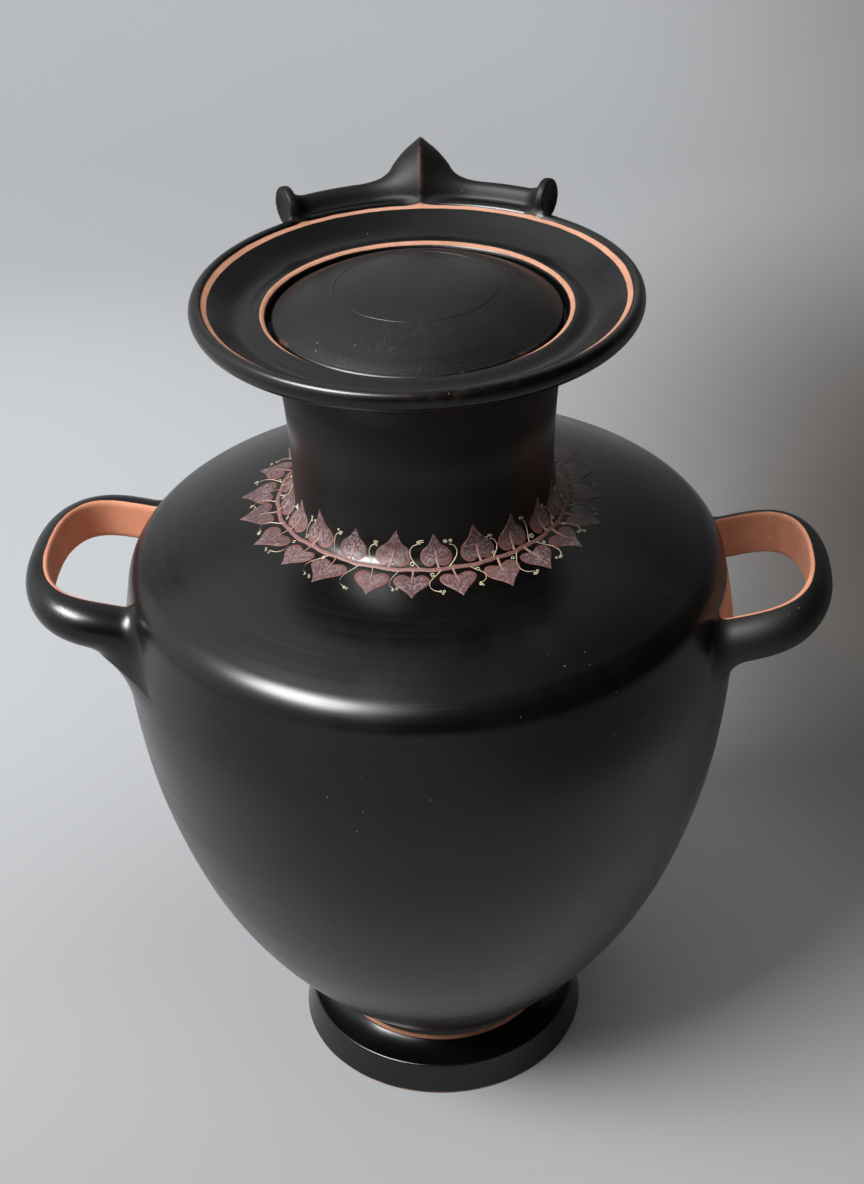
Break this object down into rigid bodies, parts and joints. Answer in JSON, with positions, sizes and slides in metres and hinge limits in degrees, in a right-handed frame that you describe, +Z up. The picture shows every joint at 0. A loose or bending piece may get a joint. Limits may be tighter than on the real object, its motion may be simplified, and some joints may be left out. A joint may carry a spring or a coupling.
{
  "type": "hydria",
  "caption": "Black-glazed Greek hydria with a painted ivy garland, two loop handles, a keeled upright handle with end discs, and a lift-off lid.",
  "frame": {"origin": "On the vessel's turning axis, in the plane it stands on.", "axes": "+Z up along the turning axis; +X towards the right loop handle; +Y towards the upright handle, so the front faces -Y."},
  "size_m": [0.404, 0.321, 0.4758],
  "materials": {
    "black_glaze": "satin-gloss black slip, wheel-striated",
    "reserved_clay": "matt orange clay left bare",
    "ivy_paint": "matt added purple-red and cream"
  },
  "bodies": {
    "vessel": {"foot": "black_glaze", "belly": "black_glaze", "shoulder": "black_glaze", "neck": "black_glaze", "mouth": "black_glaze", "left_handle": "black_glaze", "right_handle": "black_glaze", "handle_saddle": "black_glaze", "back_handle": "black_glaze", "left_rotelle": "black_glaze", "right_rotelle": "black_glaze"},
    "lid": {"lid": "black_glaze"}
  },
  "joints": [
    {"name": "lid_lift", "type": "slide", "parent": "vessel", "child": "lid", "axis": [0, 0, 1], "range_m": [0, 0.15]}
  ]
}
